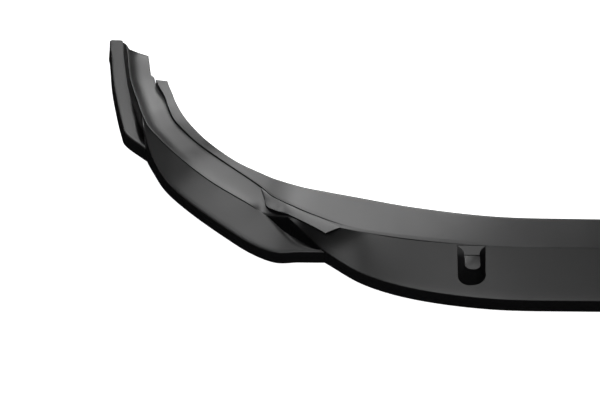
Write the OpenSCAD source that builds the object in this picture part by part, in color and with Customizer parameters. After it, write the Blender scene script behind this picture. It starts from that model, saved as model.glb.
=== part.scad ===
// Front splitter lip for a car: one moulded sheet of satin black plastic.
// Three overlapping blades a side stand on a front skirt, and a seat behind
// their crest fits under the bumper. Millimetres, +Z up, the front faces -Y,
// the origin is on the ground at the middle of the part.

/* [Overall] */
// Width across the rear ends of the outer blades
overall_w = 1848; // [1830:2:1960]
// Length from the nose to the rear ends of the outer blades
overall_d = 583; // [575:1:650]
// Height of the front edge
edge_h = 27; // [22:1:34]
// Thickness of the moulded sheet
sheet = 4; // [3:0.5:5]
// Radius along the top of the front edge
edge_r = 4; // [2:0.5:6]

/* [Centre blade] */
// Width of the centre blade from tip to tip
centre_w = 1076; // [1040:2:1100]
// How far its tips lie behind the nose
centre_back = 95; // [85:1:105]
// How far its front edge bows out in front of the line from nose to tip
centre_bow = 46; // [34:1:52]
// Height of the crest at the middle of the car
crest_h = 64; // [56:1:72]
// Distance of that crest behind the nose
crest_back = 78; // [66:1:90]

/* [Middle blades] */
// How far the middle blades' front edge sits behind the centre blade's tips
tip_step = 4; // [2:1:8]
// Length of the straight front edge next to the centre blade
mid_flat = 90; // [70:1:105]
// Width from tip to tip of the two middle blades
mid_w = 1682; // [1660:2:1700]
// How far those tips lie behind the nose
mid_back = 316; // [300:1:330]
// How far the slanting front edge bows out
mid_bow = 25; // [15:1:32]
// Height of the crest along the low middle stretch
saddle_h = 40; // [36:1:48]
// Height of the crest where the middle blade's fin ends
shoulder_h = 61; // [54:1:66]

/* [Outer blades] */
// Width across the rounded front corners
corner_w = 1768; // [1752:2:1790]
// How far those corners lie behind the nose
corner_back = 356; // [346:1:366]
// How far the side edge bows out
arm_bow = 6; // [0:1:12]
// Height of the crest at the rear of the arm
arm_h = 51; // [46:1:58]
// How far the wall beside the outer blade leans in to its crest
wall_lean = 8; // [4:1:11]

/* [Seat] */
// Width of the flange at the middle of the car
flange_w = 60; // [50:1:80]
// Width of the seat along the arms
seat_w = 62; // [58:1:72]
// Width of the dished band behind the crest
band_w = 47; // [40:1:50]
// Depth of that band below the crest on the arms
band_drop = 14; // [8:1:17]
// Height of the step to the inner strip at the rear of the arm
step_h = 12; // [6:1:14]
// How much further forward the inner strip ends than the outer one
notch_d = 76; // [40:1:90]
// How far the loose front end of the band stands out over the centre blade
flap_out = 20; // [10:1:24]

/* [Bosses] */
// Distance between the two bosses on the centre blade
boss_span = 622; // [420:2:700]
// Width of a boss at its foot
boss_w = 45; // [38:1:52]
// Width of its top
boss_top_w = 27; // [20:1:32]
// How far its foot stands out in front of the crest
boss_out = 56; // [46:1:60]

/* [Hidden] */

$fn = 32;
// Samples in each span of a curve
SPAN_STEPS = 3;
// Segments in the rounded front edge
EDGE_STEPS = 3;
// Segments across the dished band
BAND_STEPS = 4;
// Overlap of a blade's sheet into the seat
LAP = 3;
// Height of the little step that shows behind the middle blade
CREST_STEP = 2;
// Foot of the wall along the arm, inside the top sheet of the outer blade
WALL_FOOT = edge_h - 2;
// Foot of the fins, which drop through a slot beside the next blade
FIN_FOOT = 3;
// Width of the outer blade at its rear end
ARM_END = 26;
// Thickness of the upturned rims' lip
RIM_LIP = 2.4;
// How much the boss's front leans, how far its foot is drawn out to a soft
// point, and the small step across its tongue
BOSS_DRAFT = 14;
BOSS_NOSE = 3;
TONGUE_STEP = 0.8;

// Plan points of the right-hand half: x out from the middle, y back from the nose
NOSE = [0, 0];
TIP_C = [centre_w / 2, centre_back];
TIP_M = [mid_w / 2, mid_back];
CORNER = [corner_w / 2, corner_back];
REAR = [overall_w / 2, overall_d];
TIP_ROOT = TIP_C + [0, tip_step];
MID_BEND = TIP_ROOT + [mid_flat, 1];
// Where the centre and middle blades' fins run out on the crest
FIN_C = TIP_C + [64, 58];
FIN_M = TIP_M + [5, 38];

function raise(p, z) = [p.x, p.y, z];
function unit(v) = v / norm(v);
// Point at fraction t of the line from a to b, moved out by d
function beside(a, b, t, d) = a + (b - a) * t + unit([b.y - a.y, a.x - b.x]) * d;
// Smooth curve through rows of equal length
function curve_at(rows, i, t) =
    let (n = len(rows) - 1,
         a = rows[max(i - 1, 0)], b = rows[i], c = rows[i + 1], d = rows[min(i + 2, n)])
    b + (c - a) * t / 2 + (a - 2.5 * b + 2 * c - d / 2) * t * t + (1.5 * (b - c) + (d - a) / 2) * t * t * t;
function curve(rows, steps = SPAN_STEPS) =
    [for (i = [0:len(rows) - 2], k = [0:steps - 1]) curve_at(rows, i, k / steps), rows[len(rows) - 1]];
// A ring given as [distance, height] pairs along the line from a towards b
function stand(a, b, pairs) =
    let (u = unit([b.x - a.x, b.y - a.y]))
    [for (p = pairs) [a.x + u.x * p[0], a.y + u.y * p[0], p[1]]];

// Solid between rings that all have the same number of points
module loft(rings) {
    count = len(rings);
    m = len(rings[0]);
    points = [for (r = rings, p = r) p];
    sides = [for (i = [0:count - 2], j = [0:m - 1])
        [i * m + j, i * m + (j + 1) % m, (i + 1) * m + (j + 1) % m, (i + 1) * m + j]];
    first_cap = [for (j = [m - 1:-1:0]) j];
    last_cap = [for (j = [0:m - 1]) (count - 1) * m + j];
    polyhedron(points, concat(sides, [first_cap, last_cap]), convexity = 12);
}

// One row of a blade: front edge point, root point on the crest side,
// bottom of the skirt and how far the skirt leans out there
function row(edge, root, foot = 0, lean = 0) = concat(edge, root, [foot, lean]);

// Section of a blade: skirt, rounded edge and sloping top, all one sheet
function blade_ring(w) =
    let (e = [w[0], w[1], w[2]], k = [w[3], w[4], w[5]], foot = max(w[6], 0), lean = w[7],
         run = norm([k.x - e.x, k.y - e.y]),
         slope = (k.z - e.z) / run,
         tilt = atan(slope),
         drop = sheet / cos(tilt),
         arc_z = e.z + slope * edge_r - edge_r / cos(tilt))
    stand(e, k, concat(
        [[-lean, foot]],
        [for (j = [0:EDGE_STEPS]) let (a = 180 - (90 - tilt) * j / EDGE_STEPS)
            [edge_r + edge_r * cos(a), arc_z + edge_r * sin(a)]],
        [[run, k.z], [run + LAP, k.z - 1.5], [run + LAP, k.z - 1.5 - drop / 2], [run, k.z - drop]],
        [[sheet, e.z + slope * sheet - drop], [sheet - lean, foot]]));

module blade(rows, steps = SPAN_STEPS) {
    loft([for (w = curve(rows, steps)) blade_ring(w)]);
}

// Crest from the middle of the car to the rear of the arm
CREST = [
    [0, crest_back, crest_h],
    [TIP_C.x * 0.25, crest_back + 1, crest_h],
    [TIP_C.x * 0.50, crest_back + 4, crest_h],
    raise(TIP_C + [-140, 1], crest_h),
    raise(TIP_C + [-38, 22], crest_h - 2),
    raise(TIP_C + [22, 42], crest_h - 4),
    raise(FIN_C, crest_h - 13),
    raise(beside(FIN_C, FIN_M, 0.126, 8), saddle_h - 3),
    raise(beside(FIN_C, FIN_M, 0.23, 15), saddle_h),
    raise(beside(FIN_C, FIN_M, 0.45, 15), saddle_h),
    raise(beside(FIN_C, FIN_M, 0.62, 14), saddle_h + 3),
    raise(beside(FIN_C, FIN_M, 0.76, 13), shoulder_h - 9),
    raise(beside(FIN_C, FIN_M, 0.87, 9), shoulder_h - 3),
    raise(beside(FIN_C, FIN_M, 0.96, 3), shoulder_h),
    raise(FIN_M + [4, 18], shoulder_h),
    raise(FIN_M + [13, 48], shoulder_h - 3),
    raise(FIN_M + [27, 108], arm_h + 3),
    raise(REAR - [42, 48], arm_h),
    raise(REAR - [33, 11], edge_h + 3)];

// The seat's section at each crest point: turn from straight back in degrees,
// width beyond seat_w and height of the inner edge
SEAT = [
    [0, flange_w - seat_w, crest_h],
    [0, flange_w - seat_w, crest_h],
    [0, flange_w - seat_w + 2, crest_h],
    [2, flange_w - seat_w + 10, crest_h - 4],
    [8, flange_w - seat_w + 16, crest_h - 9],
    [13, flange_w - seat_w + 14, crest_h - 13],
    [21, 11, crest_h - 18],
    [23, 11, saddle_h - 2],
    [25, 9, saddle_h - 6],
    [38, -1, saddle_h - 6],
    [48, -2, saddle_h - 3],
    [56, 1, shoulder_h - 18],
    [59, 3, shoulder_h - 14],
    [62, 5, shoulder_h - 12],
    [65, 3, shoulder_h - 12],
    [69, 1, shoulder_h - 13],
    [86, 1, arm_h - 4],
    [93, 6, arm_h - 4],
    [93, 12, arm_h - 4]];

// Width and drop of the dished band, rise of the step behind it and
// rounding of the crest
BAND = concat(
    [for (i = [0:4]) [6, 0, 0, 1]],
    [[12, 1, 1.5, 2], [20, -5, 2.5, 6], [35, -3, 2.5, 5]],
    [[band_w - 3, 4, 2.5, 1], [band_w, 6, 2.5, 1], [band_w, band_drop - 6, 3, 1], [band_w, band_drop - 2, 3, 1]],
    [for (i = [0:3]) [band_w, band_drop, 4 + i, 1]],
    [[band_w - 5, band_drop, step_h - 2, 1], [band_w - 4, band_drop, step_h, 1]],
    [[band_w - 2, band_drop, step_h, 1]]);

// Foot of the wall under the crest and how far it leans out
WALL = concat(
    [for (i = [0:4]) [CREST[i].z - 6, 1]],
    [[CREST[5].z - 10, 1], [FIN_FOOT, 0.6 * wall_lean], [WALL_FOOT, 0.5 * wall_lean]],
    [for (i = [8:13]) [CREST[i].z - 7, 1]],
    [[FIN_FOOT, wall_lean], [FIN_FOOT, wall_lean], [WALL_FOOT, wall_lean]],
    [[WALL_FOOT, 1.5 * wall_lean], [WALL_FOOT, 0.75 * wall_lean]]);

// One row of the seat: crest point, turn, width and height of the inner edge,
// band and wall
SEAT_HALF = [for (i = [0:len(CREST) - 1])
    concat(CREST[i], [SEAT[i][0], seat_w + SEAT[i][1], SEAT[i][2]], BAND[i], WALL[i])];
function flip_seat(w) = concat([-w[0], w[1], w[2], -w[3]], [for (i = [4:len(w) - 1]) w[i]]);
// Point of a section that lies s behind the crest
function behind(w, s) = [w[0] - s * sin(w[3]), w[1] + s * cos(w[3])];

// Section of the seat: wall, crest, dished band, step and inner strip
function seat_ring(w) =
    let (k = [w[0], w[1], w[2]], run = w[4], inner_z = w[5], band = w[6], drop = w[7], rise = w[8],
         round = w[9], foot = max(w[10], FIN_FOOT), lean = w[11],
         low = k.z - drop, inset = 0.8 * sheet)
    stand(k, behind(w, run), concat(
        [[-lean, foot], [-0.5, k.z - 1.4 * round], [0.25 * round, k.z - 0.3 * round]],
        [for (j = [0:BAND_STEPS]) let (t = j / BAND_STEPS)
            [round * (1 - t) + band * t, low + drop * (1 - t) * (1 - t)]],
        [[band + 1.2, low + rise], [run, inner_z], [run, inner_z - sheet]],
        [[band + 1.2 + inset, low + rise - sheet]],
        [for (j = [BAND_STEPS:-1:0]) let (t = j / BAND_STEPS)
            [max(inset, round) * (1 - t) + (band + inset) * t, low + drop * (1 - t) * (1 - t) - sheet]],
        [[sheet - lean, foot]]));

// Seat along the whole part, with the stepped rear ends of the arms
module seat() {
    half = SEAT_HALF;
    difference() {
        loft([for (w = curve(concat([for (i = [len(half) - 1:-1:1]) flip_seat(half[i])], half)))
            seat_ring(w)]);
        for (side = [0, 1]) mirror([side, 0, 0]) rear_cut();
    }
}

// What is trimmed off the seat at the rear of an arm
module rear_cut() {
    end = [CREST[17].x, CREST[17].y + 2];
    // Foot of the step at distance y from the nose
    steps = [curve_at(SEAT_HALF, 15, 2 / 3), SEAT_HALF[16], curve_at(SEAT_HALF, 16, 1 / 3)];
    function step_x(y) = lookup(y, [for (w = steps) let (p = behind(w, w[6] - 0.3)) [p.y, p.x]]);
    inner_y = end.y - notch_d;
    translate([0, 0, -1]) linear_extrude(crest_h + 40) polygon([
        [end.x - 150, inner_y],
        [step_x(inner_y), inner_y],
        [step_x(inner_y + 16), inner_y + 16],
        [end.x - 44, inner_y + 21],
        end + [-37, -7],
        end + [-13, 0],
        end + [-3, 1],
        end + [6, 38],
        end + [6, 120],
        end + [-150, 120]]);
}

// Centre blade with its two fins
CENTRE_HALF = [
    row([0, 0, edge_h], CREST[0]),
    row(raise(beside(NOSE, TIP_C, 0.25, centre_bow * 0.51), edge_h), CREST[1]),
    row(raise(beside(NOSE, TIP_C, 0.50, centre_bow * 0.95), edge_h), CREST[2]),
    row(raise(beside(NOSE, TIP_C, 0.72, centre_bow), edge_h), (CREST[2] + 2 * CREST[3]) / 3),
    row(raise(beside(NOSE, TIP_C, 0.88, centre_bow * 0.68), edge_h), (CREST[3] + CREST[4]) / 2),
    row(raise(TIP_C, edge_h + 1), CREST[4]),
    row(raise(TIP_C + [26, 23], edge_h + 8), CREST[5], FIN_FOOT, 0.5 * wall_lean),
    row(raise(TIP_C + [51, 44], edge_h + 20), (CREST[5] + 2 * CREST[6]) / 3, FIN_FOOT, 0.6 * wall_lean),
    row(raise(FIN_C - [4, 6], crest_h - 14), CREST[6], FIN_FOOT, 0.6 * wall_lean)];
function flip_row(w) = [-w[0], w[1], w[2], -w[3], w[4], w[5], w[6], w[7]];

module centre_blade() {
    blade(concat([for (i = [len(CENTRE_HALF) - 1:-1:1]) flip_row(CENTRE_HALF[i])], CENTRE_HALF));
}

function sunk(p, d) = [p.x, p.y, p.z - d];

// Middle blade: flat at its tip and twisting up to a fin on the shoulder
module middle_blade() {
    blade([
        row(raise(TIP_ROOT, edge_h), raise(TIP_ROOT + [7, 4], edge_h)),
        row(raise(TIP_ROOT + [mid_flat * 0.25, 0], edge_h), raise(TIP_ROOT + [26, 7], edge_h + 1)),
        row(raise(TIP_ROOT + [mid_flat * 0.54, 0.3], edge_h), raise(TIP_ROOT + [51, 21], edge_h + 4)),
        row(raise(MID_BEND - [4, 1], edge_h), raise(TIP_ROOT + [74, 41], edge_h + 7)),
        row(raise(beside(MID_BEND, TIP_M, 0.13, mid_bow * 0.52), edge_h), sunk(CREST[7], CREST_STEP)),
        row(raise(beside(MID_BEND, TIP_M, 0.31, mid_bow * 0.80), edge_h), sunk(CREST[8], CREST_STEP)),
        row(raise(beside(MID_BEND, TIP_M, 0.51, mid_bow * 0.98), edge_h), sunk(CREST[9], CREST_STEP)),
        row(raise(beside(MID_BEND, TIP_M, 0.68, mid_bow), edge_h + 1), sunk(CREST[10], CREST_STEP)),
        row(raise(beside(MID_BEND, TIP_M, 0.80, mid_bow * 0.84), edge_h + 6), sunk(CREST[11], CREST_STEP)),
        row(raise(beside(MID_BEND, TIP_M, 0.92, mid_bow * 0.40), edge_h + 15), sunk(CREST[12], CREST_STEP)),
        row(raise(TIP_M + [1, 8], edge_h + 25), sunk(CREST[13], CREST_STEP), FIN_FOOT, 0.8 * wall_lean),
        row(raise(FIN_M + [1, -8], shoulder_h - 4), sunk(CREST[14], CREST_STEP), FIN_FOOT, 0.8 * wall_lean)]);
}

// Outer blade: a flat arm that ends square at the rear
module outer_blade() {
    front = CORNER + [5, 15];
    wall = FIN_M + [33, 118];
    heel = REAR - [ARM_END, 0];
    blade([
        row(raise(TIP_M - [4, 4], edge_h), raise(TIP_M + [-6, 10], edge_h)),
        row(raise(TIP_M + [15, 12], edge_h), raise(TIP_M + [5, 31], edge_h)),
        row(raise(CORNER - [11, 13], edge_h), raise(FIN_M + [6, 8], edge_h)),
        row(raise(CORNER, edge_h), raise(FIN_M + [10, 26], edge_h)),
        row(raise(front, edge_h), raise(FIN_M + [14, 42], edge_h)),
        row(raise(beside(front, REAR, 0.20, arm_bow * 0.6), edge_h), raise(FIN_M + [21, 70], edge_h)),
        row(raise(beside(front, REAR, 0.50, arm_bow), edge_h), raise(beside(wall, heel, 0.15, 0), edge_h)),
        row(raise(beside(front, REAR, 0.80, arm_bow * 0.6), edge_h), raise(beside(wall, heel, 0.65, 2), edge_h)),
        row(raise(REAR - [0, edge_r], edge_h), raise(heel - [0, edge_r], edge_h))]);
    // End wall, rounded at its outer corner
    hull() {
        translate([heel.x, heel.y - sheet, 0]) cube([edge_r, sheet, edge_h - 1]);
        translate([REAR.x - edge_r, REAR.y - edge_r, 0]) cylinder(h = edge_h - 1, r = edge_r);
        translate([heel.x, heel.y - edge_r, edge_h - edge_r]) cube([ARM_END - edge_r, 1, edge_r]);
    }
}

// Front and rear edge point of the flap at a row of the seat: the front one
// lies s behind the crest and is lifted off its height, the rear one lies
// against the step of the inner strip, a little below its top
function flap_row(w, s, lift) = concat(
    raise(behind(w, s), w[2] + lift),
    raise(behind(w, w[6] + 0.5), w[2] - w[7] + w[8] - 1));

// Loose front end of the band, lying over the crest of the centre blade and
// running to a point at the step
module flap() {
    free_in = curve_at(SEAT_HALF, 4, 0.25);
    free_out = curve_at(SEAT_HALF, 4, 0.60);
    // From the free end to the point on the arm side
    rows = [
        concat(raise(behind(free_out, -flap_out), free_out[2] + 2), raise(behind(free_in, 0), free_in[2] + 1.5)),
        flap_row(SEAT_HALF[5], -0.62 * flap_out, 2.5),
        flap_row(SEAT_HALF[6], 0, 7),
        flap_row(curve_at(SEAT_HALF, 6, 0.5), 4, 8),
        flap_row(SEAT_HALF[7], 11, 6.5),
        flap_row(curve_at(SEAT_HALF, 7, 0.35), 24, 4),
        flap_row(curve_at(SEAT_HALF, 7, 0.85), 38, -1)];
    loft([for (w = curve(rows))
        let (a = [w[0], w[1], w[2]], b = [w[3], w[4], w[5]], run = norm([b.x - a.x, b.y - a.y]))
        stand(a, b, [
            [0, a.z - sheet], [0, a.z - 1], [1, a.z], [run / 2, (a.z + b.z) / 2 + 0.6],
            [run, b.z], [run, b.z - sheet], [run / 2, (a.z + b.z) / 2 - sheet]])]);
}

// Upturned rim of a blade beside its neighbour's fin: a hollow curve that
// rises from the blade to a thin lip. One row: lip point, width, height
module rim(rows) {
    n = len(rows) - 1;
    base = edge_h - 0.3;
    loft([for (i = [0:n]) let (w = rows[i], a = rows[max(i - 1, 0)], b = rows[min(i + 1, n)],
            out = unit([b.y - a.y, a.x - b.x]), p = [w.x, w.y], width = w[2], height = w[3])
        stand(p + out * width, p, [
            [0, base - 2], [0, base], [0.45 * width, base + 0.10 * height],
            [0.75 * width, base + 0.36 * height], [width, base + height - 0.5], [width + 1, base - 2]])]);
    for (i = [0:n - 1]) hull() {
        for (w = [rows[i], rows[i + 1]])
            translate([w.x, w.y, base - 2]) cylinder(h = w[3] + 2, r = RIM_LIP / 2, $fn = 8);
    }
}

function rim_row(p, width, height) = [p.x, p.y, width, height];

// Rounded outline of a boss, its length measured forward from the crest.
// The nose makes its front slightly pointed
module boss_outline(width, length, nose, inset) {
    half = width / 2 - inset;
    hull() {
        translate([-half, -length / 4]) square([2 * half, length / 4 - 1.5 * inset]);
        translate([0, half + inset + nose - length]) circle(r = half);
        translate([0, 3 + inset - length]) circle(r = 3);
    }
}

// Boss under a tongue of the flange. The inset copy is the hollow inside it
module boss_body(inset) {
    crest_y = CREST[2].y;
    slope = atan((crest_h - edge_h) / (crest_y - 10));
    translate([boss_span / 2, crest_y, crest_h]) hull() {
        rotate([slope, 0, 0]) translate([0, 0, -3 - inset]) linear_extrude(2)
            boss_outline(boss_w, boss_out / cos(slope), BOSS_NOSE, inset);
        translate([0, 0, -2 - inset]) linear_extrude(2 - TONGUE_STEP)
            boss_outline(boss_top_w, boss_out - BOSS_DRAFT, 0, inset);
    }
}

// Part of the tongue that is level with the flange
module tongue() {
    translate([boss_span / 2 - boss_top_w / 2, CREST[2].y - 13, crest_h - 3])
        cube([boss_top_w, 15, 3]);
}

module splitter_lip() {
    color("#1c1d1f") translate([0, -overall_d / 2, 0]) difference() {
        union() {
            centre_blade();
            seat();
            for (side = [0, 1]) mirror([side, 0, 0]) {
                middle_blade();
                outer_blade();
                flap();
                boss_body(0);
                tongue();
                rim([
                    rim_row(TIP_ROOT + [25, 6], 3, 2),
                    rim_row(TIP_ROOT + [37, 12], 7, 5),
                    rim_row(TIP_ROOT + [50, 20], 12, 8),
                    rim_row(TIP_ROOT + [62, 29], 13, 9),
                    rim_row(TIP_ROOT + [74, 39], 8, 7)]);
                rim([
                    rim_row(TIP_M + [6, 28], 4, 2),
                    rim_row(TIP_M + [12, 47], 9, 6),
                    rim_row(TIP_M + [17, 68], 10, 8),
                    rim_row(TIP_M + [26, 98], 7, 5),
                    rim_row(TIP_M + [33, 121], 3, 1)]);
            }
        }
        for (side = [0, 1]) mirror([side, 0, 0]) boss_body(sheet);
    }
}

splitter_lip();
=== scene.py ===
from math import atan, cos, pi, radians, sin
import bmesh
import bpy
import numpy as np
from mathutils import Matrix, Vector


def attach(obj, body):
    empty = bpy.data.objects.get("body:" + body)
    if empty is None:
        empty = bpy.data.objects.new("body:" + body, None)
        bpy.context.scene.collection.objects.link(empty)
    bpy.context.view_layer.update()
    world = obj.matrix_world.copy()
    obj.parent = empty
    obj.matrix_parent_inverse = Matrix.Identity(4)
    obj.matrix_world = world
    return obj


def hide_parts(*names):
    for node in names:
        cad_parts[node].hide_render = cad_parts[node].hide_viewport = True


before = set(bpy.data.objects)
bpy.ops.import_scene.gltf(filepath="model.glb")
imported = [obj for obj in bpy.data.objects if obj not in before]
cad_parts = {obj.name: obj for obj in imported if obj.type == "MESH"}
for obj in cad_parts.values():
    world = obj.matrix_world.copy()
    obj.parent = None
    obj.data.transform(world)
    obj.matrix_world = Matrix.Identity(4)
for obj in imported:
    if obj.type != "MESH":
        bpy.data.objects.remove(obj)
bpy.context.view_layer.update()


# ---- Seat and crest
# The strip that goes up under the bumper: a level flange at the middle of the
# car, a dished band and a raised inner strip along the arms, and the wall
# below the crest. It is moulded in one sheet of black ABS with the blades.
LENGTH, SHEET, FRONT_EDGE = 583, 4, 27          # mm, as every size below
CREST_HEIGHT, CREST_BACK = 64, 78
SADDLE, SHOULDER, ARM_CREST = 40, 61, 51
SEAT_WIDTH, BAND_WIDTH, BAND_DROP, STEP = 62, 47, 14, 12
WALL_LEAN, WALL_FOOT, FIN_FOOT = 8, 25, 3
MM_PER_M = 1000
# A point is x out from the middle of the car and y back from the nose
REAR = np.array([924, 583])
CENTRE_TIP, MIDDLE_TIP = np.array([538, 95]), np.array([841, 316])
CENTRE_FIN, MIDDLE_FIN = CENTRE_TIP + [64, 58], MIDDLE_TIP + [5, 38]


def beside(a, b, share, out):
    """Point at a share of the line from a to b, moved out by some mm."""
    a, b = np.asarray(a, float), np.asarray(b, float)
    along = b - a
    return a + along * share + np.array([along[1], -along[0]]) / np.hypot(*along) * out


SPAN_STEPS = 9                                  # sections in each span between two rows


def between(rows, i, t):
    """Row at share t of span i, on a smooth curve through all the rows."""
    a, b, c, d = rows[max(i - 1, 0)], rows[i], rows[i + 1], rows[min(i + 2, len(rows) - 1)]
    return (b + (c - a) * t / 2 + (a - 2.5 * b + 2 * c - d / 2) * t ** 2
            + (1.5 * (b - c) + (d - a) / 2) * t ** 3)


def smooth(rows, steps=SPAN_STEPS):
    """All the rows, with rows on the smooth curve added between them."""
    rows = [np.asarray(row, float) for row in rows]
    added = [between(rows, i, k / steps) for i in range(len(rows) - 1) for k in range(steps)]
    return added + [rows[-1]]


def stand(a, b, section):
    """Ring of a section that stands upright on the line from a towards b."""
    along = np.asarray(b, float)[:2] - np.asarray(a, float)[:2]
    along /= np.hypot(*along)
    return [(a[0] + along[0] * s, a[1] + along[1] * s, z) for s, z in section]


EDGE_SHARE, LEAST_EDGE = 0.45, 1e-6             # most of an edge that its radius takes
ARC_SHARES = (0, 0.25, 0.5, 0.75, 1)


def eased(corners):
    """Section whose corners, given as (s, z, radius), are rounded; radius 0 is a plain point."""
    section = []
    for i, (s, z, radius) in enumerate(corners):
        here = np.array([s, z])
        if not radius:
            section.append(here)
            continue
        ends = []
        for neighbour in (corners[i - 1], corners[(i + 1) % len(corners)]):
            edge = np.array(neighbour[:2]) - here
            ends.append(here + edge * min(radius / max(np.hypot(*edge), LEAST_EDGE), EDGE_SHARE))
        p, q = ends
        section += [(1 - t) ** 2 * p + 2 * t * (1 - t) * here + t * t * q for t in ARC_SHARES]
    return section


def in_frame(point, side=1):
    """Point in metres from the middle of the part, on one side of the car or the other."""
    return Vector((side * point[0], point[1] - LENGTH / 2, point[2])) / MM_PER_M


def skin(bm, rings, side=1):
    """Closed skin over rings that all have the same number of points."""
    verts = [[bm.verts.new(in_frame(p, side)) for p in ring] for ring in rings]
    count = len(rings[0])
    for one, two in zip(verts, verts[1:]):
        for j in range(count):
            bm.faces.new((one[j], one[(j + 1) % count], two[(j + 1) % count], two[j]))
    bm.faces.new(verts[0][::-1])
    bm.faces.new(verts[-1])


def solid(name, bm):
    """Object of a closed skin, with its faces turned outwards."""
    bmesh.ops.recalc_face_normals(bm, faces=bm.faces)
    mesh = bpy.data.meshes.new(name)
    bm.to_mesh(mesh)
    bm.free()
    piece = bpy.data.objects.new(name, mesh)
    bpy.context.scene.collection.objects.link(piece)
    return piece


def finished_mesh(piece):
    """Plain mesh of a piece, with its modifiers applied."""
    evaluated = piece.evaluated_get(bpy.context.evaluated_depsgraph_get())
    return bpy.data.meshes.new_from_object(evaluated)


MERGE = 0.00001                                 # m; closer points are one
SMOOTH_ANGLE = 0.7                              # radians; a sharper fold stays a crease


def moulding(name, bm, rounding, smooth_angle=SMOOTH_ANGLE):
    """Makes the piece: outward faces, small tool radii on its edges, and the moulded ABS."""
    bmesh.ops.remove_doubles(bm, verts=bm.verts, dist=MERGE)
    piece = solid(name, bm)
    piece.data.materials.append(moulded_abs)
    if rounding:
        bevel = piece.modifiers.new("tool_radius", "BEVEL")
        bevel.limit_method = "ANGLE"
        bevel.angle_limit = smooth_angle
        bevel.width = rounding / MM_PER_M
        bevel.segments = 2
        bevel.use_clamp_overlap = True
        mesh = finished_mesh(piece)
        piece.modifiers.clear()
        piece.data = mesh
    piece.data.shade_smooth()
    piece.data.set_sharp_from_angle(angle=smooth_angle)
    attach(piece, "root")
    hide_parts("splitter_lip")


def linear(hex_colour):
    """Linear RGBA of an sRGB hex colour."""
    parts = [int(hex_colour[i:i + 2], 16) / 255 for i in (1, 3, 5)]
    light = [c / 12.92 if c <= 0.04045 else ((c + 0.055) / 1.055) ** 2.4 for c in parts]
    return (*light, 1.0)


def add(tree, kind, settings=None, inputs=None):
    """Adds one node; an input is a value or the output socket that feeds it."""
    node = tree.nodes.new(kind)
    for name, value in (settings or {}).items():
        setattr(node, name, value)
    for name, value in (inputs or {}).items():
        if isinstance(value, bpy.types.NodeSocket):
            tree.links.new(value, node.inputs[name])
        else:
            node.inputs[name].default_value = value
    return node


# Injection-moulded black ABS with a fine spark-eroded grain: satin, a little
# uneven where the melt flowed, brighter where it faces the light. Its base
# colour is painted: painted shade in the grain's hollows, painted light on its tops.
GRAIN, GRAIN_DEPTH = 1.1, 0.12                  # mm; the real grain, 0.2 mm, would not show
FLOW = 90                                       # mm between the faint flow marks
NOISE_LOW, NOISE_HIGH = 0.3, 0.7                # most of a noise pattern lies between these
SMOOTHEST, ROUGHEST = 0.34, 0.39                # roughness on and between the flow marks
# Painted shade for the grain's hollows and painted light for its tops
SHADED_HOLLOW, LIT_TOP = "#070708", "#0c0c0d"              # the grain's hollows and its tops
ABS_IOR = 1.54
moulded_abs = bpy.data.materials.new("moulded_black_abs")
moulded_abs.use_nodes = True
tree = moulded_abs.node_tree
shader = tree.nodes["Principled BSDF"]
place = add(tree, "ShaderNodeTexCoord").outputs["Object"]
grain = add(tree, "ShaderNodeTexNoise", {"noise_dimensions": "3D"}, {
    "Vector": place, "Scale": MM_PER_M / GRAIN, "Detail": 2.0, "Roughness": 0.55})
flow = add(tree, "ShaderNodeTexNoise", {"noise_dimensions": "3D"}, {
    "Vector": place, "Scale": MM_PER_M / FLOW, "Detail": 3.0, "Roughness": 0.5,
    "Distortion": 0.6})
gloss = add(tree, "ShaderNodeMapRange", None, {
    "Value": flow.outputs["Fac"], "From Min": NOISE_LOW, "From Max": NOISE_HIGH,
    "To Min": SMOOTHEST, "To Max": ROUGHEST})
# Painted shade: the grain's height sets how far the base colour goes from the shaded hollow to the
# lit top
grain_shade = add(tree, "ShaderNodeMapRange", {"data_type": "FLOAT"}, {
    "Value": grain.outputs["Fac"], "From Min": NOISE_LOW, "From Max": NOISE_HIGH,
    "To Min": 0.0, "To Max": 1.0})
colour = add(tree, "ShaderNodeMix", {"data_type": "RGBA"})
tree.links.new(grain_shade.outputs["Result"], colour.inputs["Factor"])
for socket in colour.inputs:
    if socket.type == "RGBA":
        socket.default_value = linear(SHADED_HOLLOW if socket.name == "A" else LIT_TOP)
bump = add(tree, "ShaderNodeBump", None, {
    "Height": grain.outputs["Fac"], "Strength": 0.15, "Distance": GRAIN_DEPTH / MM_PER_M})
# The grain's painted shade and painted light go into the base colour
shaded_grain = [o for o in colour.outputs if o.type == "RGBA"][0]
tree.links.new(shaded_grain, shader.inputs["Base Color"])
tree.links.new(gloss.outputs["Result"], shader.inputs["Roughness"])
tree.links.new(bump.outputs["Normal"], shader.inputs["Normal"])
shader.inputs["IOR"].default_value = ABS_IOR

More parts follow.
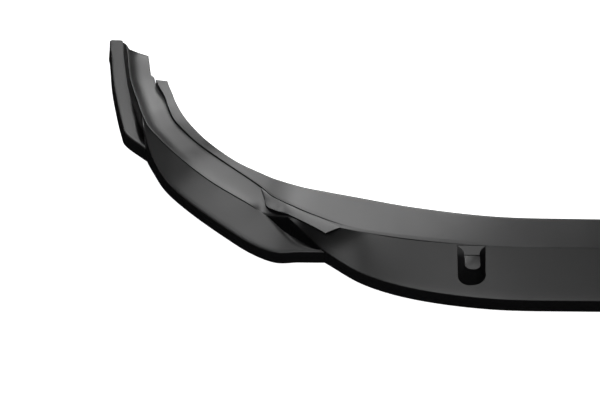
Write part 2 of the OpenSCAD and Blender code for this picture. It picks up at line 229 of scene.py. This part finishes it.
# The crest from the middle of the car to the rear end: point and height
crest = [np.array([*point, z], float) for point, z in [
    ((0, CREST_BACK), CREST_HEIGHT),
    ((134.5, CREST_BACK + 1), CREST_HEIGHT),
    ((269, CREST_BACK + 4), CREST_HEIGHT),
    (CENTRE_TIP + [-140, 1], CREST_HEIGHT),
    (CENTRE_TIP + [-38, 22], CREST_HEIGHT - 2),
    (CENTRE_TIP + [22, 42], CREST_HEIGHT - 4),
    (CENTRE_FIN, CREST_HEIGHT - 13),
    (beside(CENTRE_FIN, MIDDLE_FIN, 0.134, 11), SADDLE - 3),
    (beside(CENTRE_FIN, MIDDLE_FIN, 0.238, 12), SADDLE),
    (beside(CENTRE_FIN, MIDDLE_FIN, 0.45, 15), SADDLE),
    (beside(CENTRE_FIN, MIDDLE_FIN, 0.62, 14), SADDLE + 3),
    (beside(CENTRE_FIN, MIDDLE_FIN, 0.76, 13), SHOULDER - 9),
    (beside(CENTRE_FIN, MIDDLE_FIN, 0.87, 9), SHOULDER - 3),
    (beside(CENTRE_FIN, MIDDLE_FIN, 0.96, 3), SHOULDER),
    (MIDDLE_FIN + [4, 18], SHOULDER),
    (MIDDLE_FIN + [13, 48], SHOULDER - 3),
    (MIDDLE_FIN + [30, 108], ARM_CREST + 3),
    (REAR - [38, 48], ARM_CREST),
    (REAR - [27.5, 11], FRONT_EDGE + 3)]]
# At each crest point: turn from straight back, extra width, height of the inner edge
seat_run = [
    (0, -2, 64), (0, -2, 64), (0, 0, 64), (2, 8, 60), (8, 14, 54.5), (13, 12, 50),
    (21, 11, 45.5), (23, 12, 40), (25, 8, 36), (38, 2, 34.5), (48, 0, 37), (56, 1, 43),
    (59, 3, 47), (62, 5, 49), (65, 3, 49), (69, 1, 48), (86, 1, 47), (93, 6, 47), (93, 12, 47)]
# Width and drop of the band, rise of the step, rounding of the crest
band_run = (
    [(6, 0, 0, 1)] * 5
    + [(12, 1.5, 1.5, 2), (20, -3, 2.5, 6), (34, -4.5, 2.5, 5)]
    + [(BAND_WIDTH - 5, 3.5, 2.5, 1), (BAND_WIDTH, 6, 2.5, 1)]
    + [(BAND_WIDTH, BAND_DROP - 6, 3, 1), (BAND_WIDTH, BAND_DROP - 2, 3, 1)]
    + [(BAND_WIDTH, BAND_DROP, 4 + i, 1) for i in range(4)]
    + [(BAND_WIDTH - 5, BAND_DROP, STEP - 2, 1), (BAND_WIDTH - 4, BAND_DROP, STEP, 1)]
    + [(BAND_WIDTH - 2, BAND_DROP, STEP, 1)])
# Foot of the wall and how far it leans out
wall_run = (
    [(point[2] - 6, 1) for point in crest[:5]]
    + [(crest[5][2] - 10, 1), (FIN_FOOT, 0.6 * WALL_LEAN), (WALL_FOOT, 0.5 * WALL_LEAN)]
    + [(point[2] - 7, 1) for point in crest[8:13]]
    + [(FIN_FOOT, 0.3 * WALL_LEAN), (FIN_FOOT, WALL_LEAN), (FIN_FOOT, WALL_LEAN)]
    + [(WALL_FOOT, 0.7 * WALL_LEAN), (WALL_FOOT, WALL_LEAN), (WALL_FOOT, 1)])
seat_half = [
    np.array([*point, turn, SEAT_WIDTH + wider, inner_edge, *band, *foot_and_lean], float)
    for point, (turn, wider, inner_edge), band, foot_and_lean
    in zip(crest, seat_run, band_run, wall_run)]
TURN, BAND, DROP, RISE = 3, 6, 7, 8             # places in a row of the seat


def behind(row, s):
    """Point of a seat section that lies s behind the crest."""
    turn = radians(row[TURN])
    return np.array([row[0] - s * sin(turn), row[1] + s * cos(turn)])


def dish(t):
    """Height of the band at share t of its width: steep at the crest, then nearly flat."""
    return 0.5 * (1 - t) ** 4 + 0.5 * (1 - t)


BAND_STEPS, STEP_RUN = 9, 1.2                   # the step goes up within 1.2 mm
CREST_LIP, UNDER_INSET = 0.3, 0.8 * SHEET       # lip ahead of the crest; underside behind it
FOOT_RADIUS, FOLD_RADIUS, RIM_RADIUS, CREST_RADIUS = 0.6, 0.5, 0.8, 0.4


def seat_ring(row):
    """Section of the seat: up the wall, over crest, band, step and strip, and back below."""
    x, y, z, turn, run, inner_edge, band, drop, rise, rounding, foot, lean = row
    low, foot = z - drop, max(foot, FIN_FOOT)
    step, rim = np.array([band + STEP_RUN, low + rise]), np.array([run, inner_edge])
    corners = [(-lean, foot, FOOT_RADIUS)]
    for t in (0.1, 0.4, 0.75):
        corners.append((-lean * (1 - t) - CREST_LIP * t, foot + (z - foot) * t, 0))
    corners.append((-CREST_LIP, z, rounding + CREST_RADIUS))
    for j in range(1, BAND_STEPS):
        t = j / BAND_STEPS
        corners.append((rounding * (1 - t) + band * t, low + drop * dish(t), 0))
    corners += [(band, low, FOLD_RADIUS), (*step, FOOT_RADIUS)]
    corners += [(*(step + (rim - step) * t), 0) for t in (0.15, 0.4, 0.65, 0.9)]
    corners += [
        (run, inner_edge, RIM_RADIUS),
        (run, inner_edge - SHEET, RIM_RADIUS),
        (band + STEP_RUN + UNDER_INSET, low + rise - SHEET, FOLD_RADIUS)]
    for t in (1, 0.75, 0.5, 0.25, 0):
        s = max(UNDER_INSET, rounding) * (1 - t) + (band + UNDER_INSET) * t
        corners.append((s, low + drop * dish(t) - SHEET, 0))
    corners.append((SHEET - lean, foot, FOOT_RADIUS))
    return stand(row[:3], behind(row, run), eased(corners))


def whole(half):
    """Rows of one half of the car, with their mirror image ahead of them."""
    mirrored = []
    for row in half[:0:-1]:
        row = np.array(row, float)
        row[[0, 3]] *= -1        # x and turn on the seat, x of the edge and the root on a blade
        mirrored.append(row)
    return mirrored + half


seat_bm = bmesh.new()
skin(seat_bm, [seat_ring(row) for row in smooth(whole(seat_half))])
seat_uncut = solid("seat_uncut", seat_bm)

# The stepped rear ends: what is trimmed off behind and inside the band
NOTCH, NOTCH_CORNER = 76, 16                    # length of the notch, and of its side on the step
CUT_REACH, CUT_BACK = 150, 120
CUT_BOTTOM, CUT_TOP = -1, CREST_HEIGHT + 40
end = crest[17][:2] + [0, 2]
inner_y = end[1] - NOTCH
step_rows = [between(seat_half, 15, 2 / 3), seat_half[16], between(seat_half, 16, 1 / 3)]
step_feet = [behind(row, row[BAND] - CREST_LIP) for row in step_rows]


def step_x(y):
    """How far out the foot of the step lies, y back from the nose."""
    return float(np.interp(y, [foot[1] for foot in step_feet], [foot[0] for foot in step_feet]))


outline = [
    (end[0] - CUT_REACH, inner_y),
    (step_x(inner_y), inner_y),
    (step_x(inner_y + NOTCH_CORNER), inner_y + NOTCH_CORNER),
    (end[0] - 44, inner_y + 21),
    end + [-37, -7], end + [-13, 0], end + [-3, 1], end + [10, 38],
    end + [10, CUT_BACK], end + [-CUT_REACH, CUT_BACK]]
cutter_bm = bmesh.new()
for side in (1, -1):
    skin(cutter_bm, [[(x, y, z) for x, y in outline] for z in (CUT_BOTTOM, CUT_TOP)], side)
cutter = solid("rear_cut", cutter_bm)
trim = seat_uncut.modifiers.new("trim", "BOOLEAN")
trim.operation, trim.solver, trim.object = "DIFFERENCE", "EXACT", cutter
trimmed = finished_mesh(seat_uncut)
bpy.data.objects.remove(cutter)
bpy.data.objects.remove(seat_uncut)
bm = bmesh.new()
bm.from_mesh(trimmed)
moulding("seat", bm, 0.5)


# ---- Centre blade
# The wide middle blade of the front edge, moulded in the same ABS sheet. Its
# skirt stands on the road side, its top slopes up to the crest, and each tip
# twists up into a fin.
CENTRE_BOW, EDGE_RADIUS, LAP = 46, 4, 3
EDGE_STEPS, TOP_STEPS = 7, 12
CROWDING, CURL = 1.6, 2.4                       # sections crowd and rims bend towards the root
LAP_RADIUS, LAP_OVER, LAP_UNDER = 0.3, 0.3, 0.7
LEAST_RIM = 0.5
NOSE = np.array([0, 0])


def blade_row(edge, edge_z, root, foot=0, lean=0, rim=(LEAST_RIM, 0), lap=LAP):
    """Front edge, root at the crest, foot of the skirt and its lean, width and height
    of a rim at the root, which turns down where it is negative, lap under the crest."""
    return np.array([*edge, edge_z, *root, foot, lean, *rim, lap], float)


def blade_ring(row):
    """Section of a blade: up the skirt, over edge, top and rim, and back below."""
    edge, root, foot, (lean, rim_width, rim_height, lap) = row[:3], row[3:6], row[6], row[7:]
    foot = max(foot, 0)
    run = np.hypot(*(root - edge)[:2])
    slope = (root[2] - edge[2]) / run
    tilt = atan(slope)
    drop = SHEET / cos(tilt)
    arc_z = edge[2] + slope * EDGE_RADIUS - EDGE_RADIUS / cos(tilt)
    corners = [(-lean, foot, FOOT_RADIUS)]
    for j in range(EDGE_STEPS + 1):
        a = pi - (pi / 2 - tilt) * j / EDGE_STEPS
        corners.append((EDGE_RADIUS + EDGE_RADIUS * cos(a), arc_z + EDGE_RADIUS * sin(a), 0))
    for j in range(1, TOP_STEPS):
        s = EDGE_RADIUS + (run - EDGE_RADIUS) * (1 - (1 - j / TOP_STEPS) ** CROWDING)
        curl = min(max(1 - (run - s) / max(rim_width, LEAST_RIM), 0), 1) ** CURL
        corners.append((s, edge[2] + slope * s + rim_height * curl, 0))
    top, back = root[2] + rim_height, run + lap + LAP_OVER
    corners += [
        (run, top, CREST_RADIUS),
        (back, top - LAP_UNDER - lap / 4, LAP_RADIUS),
        (back, min(root[2], top) - drop, LAP_RADIUS),
        (SHEET, edge[2] + slope * SHEET - drop, FOOT_RADIUS),
        (SHEET - lean, foot, FOOT_RADIUS)]
    return stand(edge, root, eased(corners))


centre_half = [
    blade_row((0, 0), FRONT_EDGE, crest[0]),
    blade_row(beside(NOSE, CENTRE_TIP, 0.25, CENTRE_BOW * 0.51), FRONT_EDGE, crest[1]),
    blade_row(beside(NOSE, CENTRE_TIP, 0.50, CENTRE_BOW * 0.95), FRONT_EDGE, crest[2]),
    blade_row(beside(NOSE, CENTRE_TIP, 0.72, CENTRE_BOW), FRONT_EDGE,
              (crest[2] + 2 * crest[3]) / 3),
    blade_row(beside(NOSE, CENTRE_TIP, 0.88, CENTRE_BOW * 0.68), FRONT_EDGE,
              (crest[3] + crest[4]) / 2),
    blade_row(CENTRE_TIP, FRONT_EDGE + 1, crest[4]),
    blade_row(CENTRE_TIP + [26, 23], FRONT_EDGE + 8, crest[5], FIN_FOOT, 0.5 * WALL_LEAN),
    blade_row(CENTRE_TIP + [51, 44], FRONT_EDGE + 20, (crest[5] + 2 * crest[6]) / 3,
              FIN_FOOT, 0.6 * WALL_LEAN),
    blade_row(CENTRE_FIN - [4, 6], CREST_HEIGHT - 14, crest[6], FIN_FOOT, 0.6 * WALL_LEAN)]
bm = bmesh.new()
skin(bm, [blade_ring(row) for row in smooth(whole(centre_half))])
moulding("centre_blade", bm, 0)


# ---- Middle blades
# One each side, moulded in the same ABS sheet. Each starts close behind the
# centre blade's tip, flat at first, then slants back and twists up into a fin
# on the shoulder.
MIDDLE_BOW, MIDDLE_FLAT, CREST_STEP = 25, 90, 2
tip_root = CENTRE_TIP + [0, 4]
bend = tip_root + [MIDDLE_FLAT, 1]


def sunk(point, step=CREST_STEP):
    """Crest point, lowered by the little step that shows behind the blade."""
    return point - [0, 0, step]


def at(point, z):
    """Point seen from above, at a height."""
    return np.array([*point, z], float)


# Beside the centre blade's fin the root curls up to a thin rim
middle_rows = [
    blade_row(tip_root, FRONT_EDGE, at(tip_root + [7, 4], FRONT_EDGE), rim=(2, 0), lap=0),
    blade_row(tip_root + [MIDDLE_FLAT * 0.25, 0], FRONT_EDGE,
              at(tip_root + [26, 8], FRONT_EDGE + 1), rim=(4, 2), lap=0),
    blade_row(tip_root + [MIDDLE_FLAT * 0.54, 0.3], FRONT_EDGE,
              at(tip_root + [50, 21], FRONT_EDGE + 3), rim=(12, 5), lap=0),
    blade_row(bend - [4, 1], FRONT_EDGE,
              at(tip_root + [74, 40.5], FRONT_EDGE + 6.5), rim=(9, 1.5), lap=0),
    blade_row(beside(bend, MIDDLE_TIP, 0.13, MIDDLE_BOW * 0.52), FRONT_EDGE,
              sunk(crest[7], 0.2 * CREST_STEP)),
    blade_row(beside(bend, MIDDLE_TIP, 0.31, MIDDLE_BOW * 0.80), FRONT_EDGE, sunk(crest[8])),
    blade_row(beside(bend, MIDDLE_TIP, 0.51, MIDDLE_BOW * 0.98), FRONT_EDGE, sunk(crest[9])),
    blade_row(beside(bend, MIDDLE_TIP, 0.68, MIDDLE_BOW), FRONT_EDGE + 1, sunk(crest[10])),
    blade_row(beside(bend, MIDDLE_TIP, 0.80, MIDDLE_BOW * 0.84), FRONT_EDGE + 6, sunk(crest[11])),
    blade_row(beside(bend, MIDDLE_TIP, 0.92, MIDDLE_BOW * 0.40), FRONT_EDGE + 15, sunk(crest[12])),
    blade_row(MIDDLE_TIP + [1, 8], FRONT_EDGE + 25, sunk(crest[13]), FIN_FOOT, 0.8 * WALL_LEAN),
    blade_row(MIDDLE_FIN + [1, -8], SHOULDER - 4, sunk(crest[14]), FIN_FOOT, 0.8 * WALL_LEAN)]
bm = bmesh.new()
for side in (1, -1):
    skin(bm, [blade_ring(row) for row in smooth(middle_rows)], side)
moulding("middle_blades", bm, 0)


# ---- Outer blades
# Flat arms moulded in the same ABS sheet, which run back beside the wheel
# arches and end square. Their inner lip turns down beside the middle blade's
# fin, and their skirt leans out to the ground.
CORNER = np.array([884, 356])
ARM_BOW, ARM_END, SKIRT_LEAN = 6, 26, 3
front = CORNER + [5, 15]
wall = MIDDLE_FIN + [33, 118]
heel = REAR - [ARM_END, 0]
LEVEL = (3, 0)                                  # width and height of a lip that stays level


def outer_row(outermost, root, rim, lap, lean=SKIRT_LEAN):
    """Row whose skirt leans out, down to its outermost point on the ground."""
    along = np.array(root, float) - outermost
    along = along / np.hypot(*along)
    return blade_row(outermost + along * lean, FRONT_EDGE, at(root, FRONT_EDGE),
                     lean=lean, rim=rim, lap=lap)


# Outermost point, root, width and height of the lip, lap under the crest
outer_rows = [outer_row(*row) for row in [
    (MIDDLE_TIP - [4, 4], MIDDLE_TIP + [-6, 10], (9, -6), 0),
    (MIDDLE_TIP + [15, 12], MIDDLE_TIP + [6, 30], (13, -8), 0),
    (CORNER - [11, 13], MIDDLE_FIN + [7, 9], (11, -7), 0),
    (CORNER, MIDDLE_FIN + [11, 26], (11, -6), 0),
    (front, MIDDLE_FIN + [14, 42], (11, -5), 0),
    (beside(front, REAR, 0.20, ARM_BOW * 0.6), MIDDLE_FIN + [21, 70], (9, -4), 0),
    (beside(front, REAR, 0.50, ARM_BOW), beside(wall, heel, 0.15, 0), LEVEL, LAP),
    (beside(front, REAR, 0.80, ARM_BOW * 0.6), beside(wall, heel, 0.65, 2), LEVEL, LAP),
    (REAR - [0, 26], beside(wall, heel, 0.80, 0), LEVEL, 0)]]
# The edge turns round the square rear end about one inner point, and its skirt
# stands up straight on the way: outermost point and lean
TURN_STEPS = 3
inner = beside(wall, heel, 0.82, 0)
end_rows = [outer_row(point, inner, LEVEL, 0, lean) for point, lean in [
    (REAR - [0, 16], SKIRT_LEAN), (REAR - [0, 6], 2.5), (REAR - [1.3, 2], 1),
    (REAR - [5, 0], 0), (REAR - [12, 0], 0),
    (heel + [5, 0], 0), (heel + [1, -2], 0), (heel + [0, -8], 0)]]
outer_rings = [blade_ring(row) for row in smooth(outer_rows) + smooth(end_rows, TURN_STEPS)]
bm = bmesh.new()
for side in (1, -1):
    skin(bm, outer_rings, side)
moulding("outer_blades", bm, 0)


# ---- Flaps
# The loose front end of the dished band: a tongue of the same sheet that lies
# over the centre blade's crest and ends in a slanted free edge.
FLAP_OUT, FLAP_CROWN, CROWN_STEPS = 20, 2.4, 6
FREE_EDGE_RADIUS = 1


def flap_row(row, s, lift):
    """Front edge s behind the crest and lifted off it, rear edge against the step."""
    rear = behind(row, row[BAND] + 0.5)
    return np.array([*behind(row, s), row[2] + lift, *rear, row[2] - row[DROP] + row[RISE] - 1])


free_in, free_out = between(seat_half, 4, 0.25), between(seat_half, 4, 0.60)
flap_rows = [
    np.array([*behind(free_out, -FLAP_OUT), free_out[2] + 2,
              *behind(free_in, 0), free_in[2] + 1.5]),
    flap_row(seat_half[5], -0.62 * FLAP_OUT, 2.5),
    flap_row(seat_half[6], 0, 7),
    flap_row(between(seat_half, 6, 0.5), 4, 8),
    flap_row(seat_half[7], 11, 6.5),
    flap_row(between(seat_half, 7, 0.35), 24, 4),
    flap_row(between(seat_half, 7, 0.85), 38, -1)]


def flap_ring(row):
    """Section of a flap, a little crowned from its free edge to the step."""
    a, b = row[:3], row[3:]
    run = np.hypot(*(b - a)[:2])
    crown = []
    for j in range(1, CROWN_STEPS):
        t = j / CROWN_STEPS
        crown.append((run * t, a[2] + (b[2] - a[2]) * t + FLAP_CROWN * t * (1 - t), 0))
    corners = [(0, a[2] - SHEET, RIM_RADIUS), (0, a[2], FREE_EDGE_RADIUS)] + crown
    corners += [(run, b[2], FOLD_RADIUS), (run, b[2] - SHEET, FOLD_RADIUS)]
    corners += [(s, z - SHEET, 0) for s, z, _ in crown[::-1]]
    return stand(a, b, eased(corners))


bm = bmesh.new()
for side in (1, -1):
    skin(bm, [flap_ring(row) for row in smooth(flap_rows)], side)
moulding("flaps", bm, 0)


# ---- Bosses
# Two hollow bosses on the centre blade, moulded with it. The flange runs out
# over each as a tongue that narrows from the crest, and steep sides drop from
# it to the blade.
BOSS_AT, BOSS_WIDTH, BOSS_OUT, BOSS_ROUND = 311, 45, 56, 15
TONGUE_WIDTH, TONGUE_OUT, TONGUE_ROUND, TONGUE_FLARE = 24, 45, 9, 17
TONGUE_STEP, PLATE = 0.9, 2.5                   # ledge round the tongue; depth of its top plate
FOOT_DEPTH, SIDE_DEPTH = 3, 0.5                 # how far the foot and the side go into the blade
FLARE_STEPS, END_STEPS = 8, 20
FLARE_CURVE, END_CURVE = 2.2, 0.88              # powers: how soon the flare and the end bend
TUCK = 2                                        # how far a tongue goes back into the flange
crest_y = crest[2][1]
blade_slope = (CREST_HEIGHT - FRONT_EDGE) / (crest_y - 10)


def u_outline(half, flared, length, flare, depth):
    """U seen from above: half its width, half its flared width at the crest,
    its length, the length of the flare and the depth of its round end."""
    side = [(flared, TUCK)]
    for k in range(FLARE_STEPS + 1):
        t = k / FLARE_STEPS
        side.append((half + (flared - half) * (1 - t) ** FLARE_CURVE, -flare * t))
    side.append((half, depth - length + 1))
    end = []
    for j in range(1, END_STEPS):
        a = j * pi / END_STEPS
        x = half * abs(cos(a)) ** END_CURVE * (1 if 2 * j < END_STEPS else -1)
        end.append((x, depth - length - depth * sin(a)))
    return side + end + [(-x, y) for x, y in side[::-1]]


def boss_ring(outline, z):
    """Outline of a boss at the height z(y)."""
    return [(BOSS_AT + x, crest_y + y, z(y)) for x, y in outline]


def blade_top(y):
    """Height of the centre blade's top, y behind the crest."""
    return CREST_HEIGHT + y * blade_slope


foot = u_outline(BOSS_WIDTH / 2, BOSS_WIDTH / 2, BOSS_OUT, TONGUE_FLARE, BOSS_ROUND)
tongue = u_outline(TONGUE_WIDTH / 2, BOSS_WIDTH / 2 - 1, TONGUE_OUT, TONGUE_FLARE, TONGUE_ROUND)
flared_points = FLARE_STEPS + 2
plate = tongue[:flared_points] + tongue[-flared_points:]
bm = bmesh.new()
for side in (1, -1):
    skin(bm, [
        boss_ring(foot, lambda y: blade_top(y) - FOOT_DEPTH),
        boss_ring(foot, lambda y: blade_top(y) - SIDE_DEPTH),
        boss_ring(tongue, lambda y: CREST_HEIGHT - TONGUE_STEP)], side)
    skin(bm, [
        boss_ring(plate, lambda y: CREST_HEIGHT - PLATE),
        boss_ring(plate, lambda y: CREST_HEIGHT)], side)
moulding("bosses", bm, 0.5, 0.3)


# ---- Camera
# A long lens that looks straight back and down at 50 degrees, from 3 m away,
# on the left-hand half of the part.
LENS, SENSOR = 108, 36
CAMERA_AT, LOOK_AT = (-0.583, -1.98786, 2.29813), (-0.583, -0.0595, 0)
camera_data = bpy.data.cameras.new("camera")
camera_data.lens = LENS
camera_data.sensor_width = SENSOR
camera = bpy.data.objects.new("camera", camera_data)
camera.location = CAMERA_AT
aim = Vector(LOOK_AT) - camera.location
camera.rotation_euler = aim.to_track_quat("-Z", "Y").to_euler()
bpy.context.scene.collection.objects.link(camera)
bpy.context.scene.camera = camera
bpy.context.scene.view_settings.view_transform = "Standard"


# ---- Floor
# A plain pale matt floor that the lip stands on, lit a little from below like
# a light table. The part's gloss doesn't mirror it.
REACH, BELOW = 9, 0.0002                        # m
FLOOR_GLOW, FLOOR_ROUGHNESS = 0.8, 0.9
WHITE = (1, 1, 1, 1)
floor_mesh = bpy.data.meshes.new("floor")
floor_corners = [(x * REACH, y * REACH, -BELOW) for x, y in ((-1, -1), (1, -1), (1, 1), (-1, 1))]
floor_mesh.from_pydata(floor_corners, [], [(0, 1, 2, 3)])
floor = bpy.data.objects.new("floor", floor_mesh)
bpy.context.scene.collection.objects.link(floor)
floor_paint = bpy.data.materials.new("pale_matt_floor")
floor_paint.use_nodes = True
shader = floor_paint.node_tree.nodes["Principled BSDF"]
for socket, value in {
        "Base Color": linear("#f2f2f2"), "Roughness": FLOOR_ROUGHNESS,
        "Specular IOR Level": 0.0, "Emission Color": WHITE,
        "Emission Strength": FLOOR_GLOW}.items():
    shader.inputs[socket].default_value = value
floor_mesh.materials.append(floor_paint)
floor.visible_glossy = False


# ---- Studio light
# Soft panels hung round the part in a dark studio. The brightest hang high
# and low behind its left-hand half and high in front, the weaker ones
# overhead and at the left.
STAND_OFF = 3.2                                 # m from the middle of the visible half
MIDDLE = Vector((-0.5, -0.1, 0))
STUDIO_LIGHT = 0.003
# Turn from straight back, height in degrees, width and height in m, watts
PANELS = {
    "back_low": (-5, 20, 0.9, 0.6, 15),
    "back_low_left": (-30, 18, 0.9, 0.6, 17),
    "back_right": (8, 33, 1.0, 1.1, 17.5),
    "back_middle": (0, 47, 1.0, 0.4, 8.5),
    "back_high_left": (-25, 56, 1.2, 1.0, 27),
    "overhead": (150, 86, 1.4, 1.2, 8),
    "left_front": (-115, 45, 1.0, 1.0, 11),
    "front": (180, 60, 1.8, 1.0, 23)}
for name, (turn, height, width, tall, watts) in PANELS.items():
    data = bpy.data.lights.new(name, "AREA")
    data.shape = "RECTANGLE"
    data.size, data.size_y = width, tall
    data.energy = watts
    lamp = bpy.data.objects.new(name, data)
    turn, height = radians(turn), radians(height)
    away = Vector((cos(height) * sin(turn), cos(height) * cos(turn), sin(height)))
    lamp.location = MIDDLE + away * STAND_OFF
    lamp.rotation_euler = away.to_track_quat("Z", "Y").to_euler()
    bpy.context.scene.collection.objects.link(lamp)
world = bpy.data.worlds.new("dark_studio")
world.use_nodes = True
background = world.node_tree.nodes["Background"]
background.inputs["Color"].default_value = WHITE
background.inputs["Strength"].default_value = STUDIO_LIGHT
bpy.context.scene.world = world
